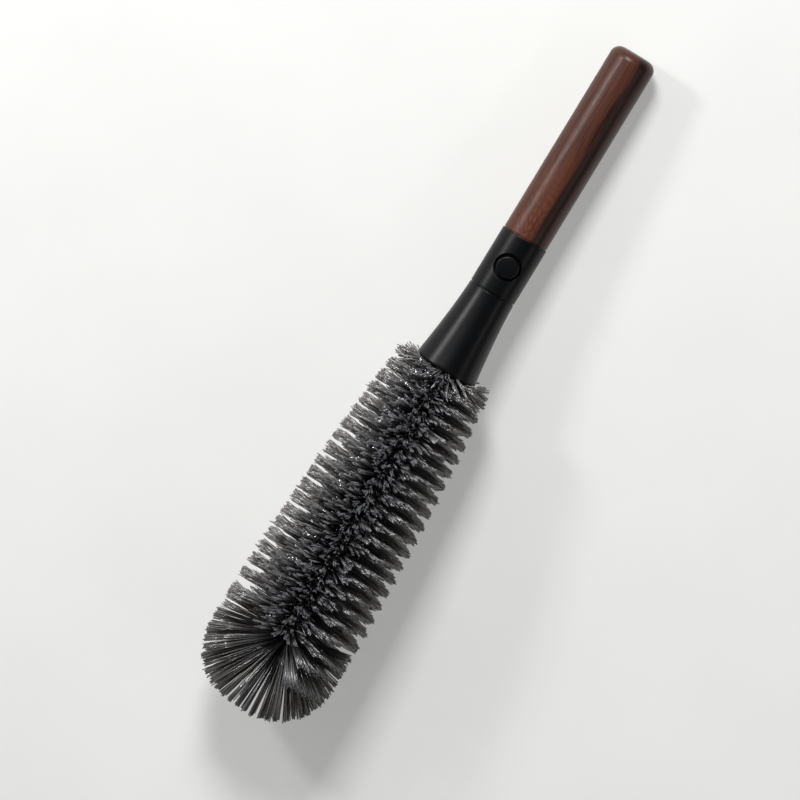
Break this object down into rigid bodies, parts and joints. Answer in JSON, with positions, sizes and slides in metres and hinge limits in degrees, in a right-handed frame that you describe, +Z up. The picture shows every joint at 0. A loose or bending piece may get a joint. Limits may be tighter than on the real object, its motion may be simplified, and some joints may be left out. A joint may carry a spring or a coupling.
{
  "type": "bottle brush",
  "caption": "Bottle brush with a turned wooden handle, black push-button collar, flared black neck and a twisted-wire head of dark bristles with a round tip.",
  "frame": {"origin": "on the floor under the middle of the brush as it lies at rest", "axes": "+X from the butt towards the bristle tip, +Z up, the release button on top; the brush axis rises towards the tip by the rest tilt"},
  "size_m": [0.345, 0.0641, 0.0666],
  "materials": {
    "handle_wood": "satin lacquer",
    "collar_black": "satin",
    "neck_black": "gloss",
    "inner_black": "moulded",
    "steel": "bright drawn wire",
    "filament": "drawn nylon"
  },
  "bodies": {
    "handle": {"handle": "handle_wood", "socket_insert": "inner_black", "collar_sleeve": "collar_black", "handle_screw": "steel", "button_spring": "steel", "latch_clip": "steel"},
    "button": {"release_button": "collar_black"},
    "head": {"spigot": "inner_black", "neck_shell": "neck_black", "core_wire": "steel", "bristles_1": "filament"},
    "head_bend_1": {"bristles_2": "filament"},
    "head_bend_2": {"bristles_3": "filament"},
    "head_bend_3": {"bristles_4": "filament"}
  },
  "joints": [
    {"name": "button_press", "type": "slide", "parent": "handle", "child": "button", "axis": [0.0759, 0, -0.9971], "range_m": [0, 0.0015], "stiffness_N_per_m": 1500, "springref_m": -0.001, "deforming": ["button_spring", "latch_clip"]},
    {"name": "head_release", "type": "slide", "parent": "handle", "child": "head", "axis": [0.9971, 0, 0.0759], "range_m": [0, 0.03], "deforming": ["latch_clip"]},
    {"name": "bend_1", "type": "hinge", "parent": "head", "child": "head_bend_1", "pos_m": [0.02941, 0, 0.02597], "axis": [-0.0759, 0, 0.9971], "range_deg": [-8, 8], "stiffness_Nm_per_rad": 0.6, "deforming": ["core_wire"]},
    {"name": "bend_2", "type": "hinge", "parent": "head_bend_1", "child": "head_bend_2", "pos_m": [0.06331, 0, 0.02855], "axis": [-0.0759, 0, 0.9971], "range_deg": [-8, 8], "deforming": ["core_wire"]},
    {"name": "bend_3", "type": "hinge", "parent": "head_bend_2", "child": "head_bend_3", "pos_m": [0.09721, 0, 0.03113], "axis": [-0.0759, 0, 0.9971], "range_deg": [-8, 8], "deforming": ["core_wire"]}
  ],
  "couplings": [
    {"joint": "bend_2", "follows": "bend_1", "ratio": 1},
    {"joint": "bend_3", "follows": "bend_1", "ratio": 1}
  ]
}
